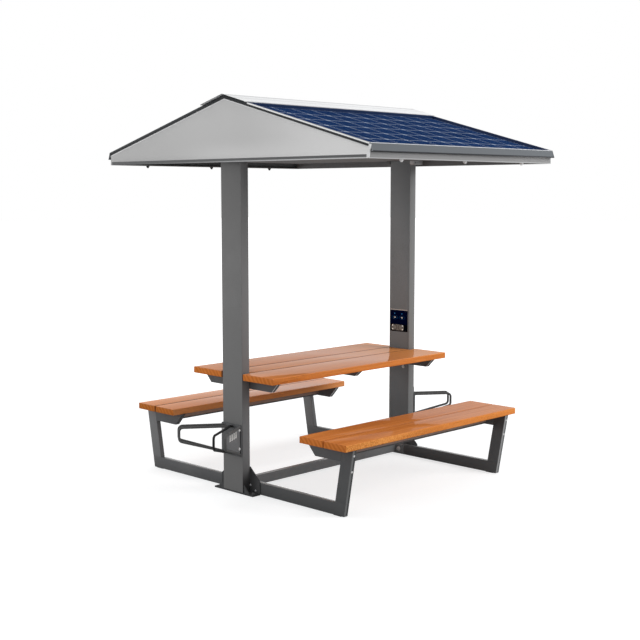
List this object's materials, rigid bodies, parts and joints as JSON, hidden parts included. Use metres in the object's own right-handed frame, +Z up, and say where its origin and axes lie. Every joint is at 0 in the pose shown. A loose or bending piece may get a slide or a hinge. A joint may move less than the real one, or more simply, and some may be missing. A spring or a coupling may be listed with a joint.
{
  "type": "solar charging bench",
  "caption": "Outdoor table with plank benches under a pitched solar roof on two columns, with a charging panel and wheel holders for bicycles.",
  "frame": {"origin": "on the floor, below the middle of the table", "axes": "+Z up; +X along the ridge and the seats towards the column with the charging panel; +Y across the seats"},
  "size_m": [2.212, 2.374, 2.4293],
  "materials": {
    "dark_metal": "satin powder coat",
    "roof_trim": "satin powder coat",
    "light_metal": "satin powder coat",
    "white_metal": "satin powder coat",
    "module_frame": "anodised",
    "solar_glass": "glazed laminate over blue cells",
    "oiled_wood": "oiled",
    "foot_rubber": "matt",
    "panel_face": "matt",
    "housing": "matt",
    "circuit_board": "matt",
    "socket_steel": "brushed",
    "controller_case": "anodised",
    "cable_jacket": "matt"
  },
  "bodies": {
    "root": {"base_foot_far": "dark_metal", "base_foot_near": "dark_metal", "battery": "housing", "bike_holder_far": "dark_metal", "bike_holder_near": "dark_metal", "bike_plate_far": "dark_metal", "bike_plate_near": "dark_metal", "cable_charge": "cable_jacket", "cable_module_left": "cable_jacket", "cable_module_right": "cable_jacket", "charge_board": "circuit_board", "charge_box": "housing", "charge_controller": "controller_case", "charge_plate": "panel_face", "column_far": "dark_metal", "column_near": "dark_metal", "eave_left": "light_metal", "eave_right": "light_metal", "floor_beam": "dark_metal", "foot_beam_far": "dark_metal", "foot_beam_near": "dark_metal", "foot_pad_far_left": "foot_rubber", "foot_pad_far_right": "foot_rubber", "foot_pad_near_left": "foot_rubber", "foot_pad_near_right": "foot_rubber", "gable_far": "light_metal", "gable_near": "light_metal", "head_bracket_far": "light_metal", "head_bracket_near": "light_metal", "leg_far_left": "dark_metal", "leg_far_right": "dark_metal", "leg_near_left": "dark_metal", "leg_near_right": "dark_metal", "module_frame_left": "module_frame", "module_frame_right": "module_frame", "module_laminate_left": "solar_glass", "module_laminate_right": "solar_glass", "ridge_beam": "roof_trim", "ridge_cap": "white_metal", "roof_tray": "roof_trim", "seat_arm_far_left": "dark_metal", "seat_arm_far_right": "dark_metal", "seat_arm_near_left": "dark_metal", "seat_arm_near_right": "dark_metal", "seat_plank_inner_left": "oiled_wood", "seat_plank_inner_right": "oiled_wood", "seat_plank_outer_left": "oiled_wood", "seat_plank_outer_right": "oiled_wood", "seat_rail_left": "dark_metal", "seat_rail_right": "dark_metal", "socket_plate": "socket_steel", "table_arm_far": "dark_metal", "table_arm_near": "dark_metal", "table_batten": "dark_metal", "table_plank_left": "oiled_wood", "table_plank_middle": "oiled_wood", "table_plank_right": "oiled_wood", "verge_far": "roof_trim", "verge_near": "roof_trim"}
  },
  "joints": []
}
